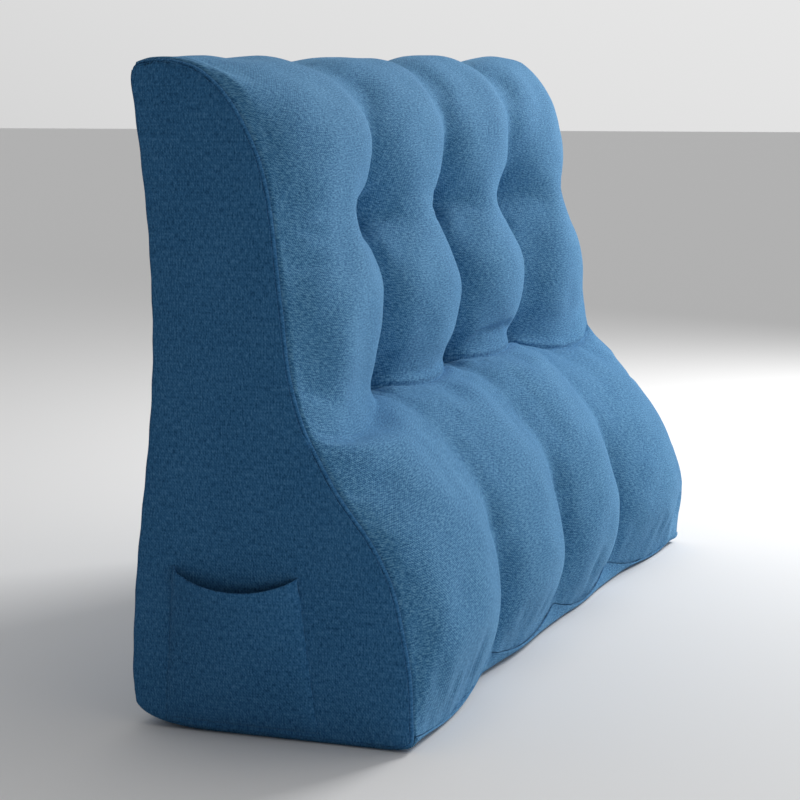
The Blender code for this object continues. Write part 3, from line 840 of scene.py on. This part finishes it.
panel_places = np.linspace(-BODY_HALF, BODY_HALF, BASE_COLUMNS)
seam_places = np.clip(panel_places, places[0], places[-1])
lower_seam = front_cover(np.array([float(LOWER)]), seam_places)[0, :, 1:]
base_grid, back_grid = [], []
for x, seam in zip(panel_places, lower_seam):
    path = trimmed(base_path(x, seam, BASE_STEPS), GAP)
    strip = even_path(path[: BASE_STEPS + 2], STRIP_ROWS)
    under = even_path(path[BASE_STEPS + 1 :], UNDER_ROWS)[1:]
    path = np.vstack([strip, under])
    base_grid.append(np.column_stack([np.full(len(path), x), path]))
    back = trimmed(follow(BACK_LINE, np.linspace(0, len(BACK_LINE) - 1, BACK_ROWS)) * MM, GAP)
    back_grid.append(np.column_stack([np.full(len(back), x), back]))
base_grid, back_grid = np.stack(base_grid, axis=1), np.stack(back_grid, axis=1)
side_way, height = back_grid[..., 0], back_grid[..., 2]
from_end = np.minimum(height - height.min(), height.max() - height)
inset = np.minimum(BODY_HALF - np.abs(side_way), from_end)
pull = np.sin(2 * np.pi * (side_way + height) / PULL_PITCH + 2 * np.sin(side_way * 37))
swelled = BACK_SWELL * (1 - np.exp(-inset / BACK_REACH))
back_grid[..., 1] += swelled + PULL_HEIGHT * pull * np.exp(-inset / PULL_REACH)
for name, node, grid, cloth, slot in (
    ("base_cloth", "base_panel", base_grid, front_cloth, "front_cloth"),
    ("back_cloth", "back_panel", back_grid, side_cloth, "side_cloth"),
):
    flat = np.dstack([grid[..., 0], run_lengths(grid, 0)])
    panel = sheet_piece(name, grid[:, ::-1], CLOTH, cloth, flat[:, ::-1])
    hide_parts(node)
    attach(panel, "root")
    length = run_lengths(grid, 0)[-1].mean()

# The floor, the light and the finish
# A plain pale floor under soft studio light: a broad lamp to the front and right, a low
# fill from the left, and an even pale room around them.
floor_mesh = bpy.data.meshes.new("floor")
floor_mesh.from_pydata([(-30, -30, 0), (30, -30, 0), (30, 30, 0), (-30, 30, 0)], [], [(0, 1, 2, 3)])
floor = bpy.data.objects.new("floor", floor_mesh)
floor_paint = bpy.data.materials.new("floor")
floor_paint.use_nodes = True
floor_paint.node_tree.nodes["Principled BSDF"].inputs["Base Color"].default_value = (0.78, 0.78, 0.78, 1)
floor_paint.node_tree.nodes["Principled BSDF"].inputs["Roughness"].default_value = 0.9
floor_mesh.materials.append(floor_paint)
bpy.context.scene.collection.objects.link(floor)

BRIGHT_SIDE = (0.74, -0.10, 0.66)     # the way to the brightest part of the room
ROOM_DARK, ROOM_BRIGHT = 0.03, 0.88

world = bpy.data.worlds.new("studio")
bpy.context.scene.world = world
world.use_nodes = True
room, joins = world.node_tree.nodes, world.node_tree.links
toward = room.new("ShaderNodeVectorMath")
toward.operation = "DOT_PRODUCT"
toward.inputs[1].default_value = Vector(BRIGHT_SIDE).normalized()
joins.new(room.new("ShaderNodeTexCoord").outputs["Generated"], toward.inputs[0])
spread_light = room.new("ShaderNodeMapRange")
spread_light.interpolation_type = "SMOOTHSTEP"
for socket, value in zip(("From Min", "From Max", "To Min", "To Max"),
                         (-0.30, 1.00, ROOM_DARK, ROOM_BRIGHT)):
    spread_light.inputs[socket].default_value = value
joins.new(toward.outputs["Value"], spread_light.inputs["Value"])
joins.new(spread_light.outputs["Result"], room["Background"].inputs["Strength"])
room["Background"].inputs["Color"].default_value = (1.0, 1.0, 1.0, 1.0)
for name, place, power, size in (
    ("key", (1.65, -0.75, 1.15), 35.0, 0.6),
    ("fill", (-1.0, -0.9, 0.1), 1.6, 0.5),
):
    lamp_data = bpy.data.lights.new(name, "AREA")
    lamp_data.energy = power
    lamp_data.size = size
    lamp = bpy.data.objects.new(name, lamp_data)
    lamp.location = place
    aim = Vector((0.0, 0.0, 0.25)) - lamp.location
    lamp.rotation_euler = aim.to_track_quat("-Z", "Y").to_euler()
    bpy.context.scene.collection.objects.link(lamp)
bpy.context.scene.view_settings.view_transform = "Standard"
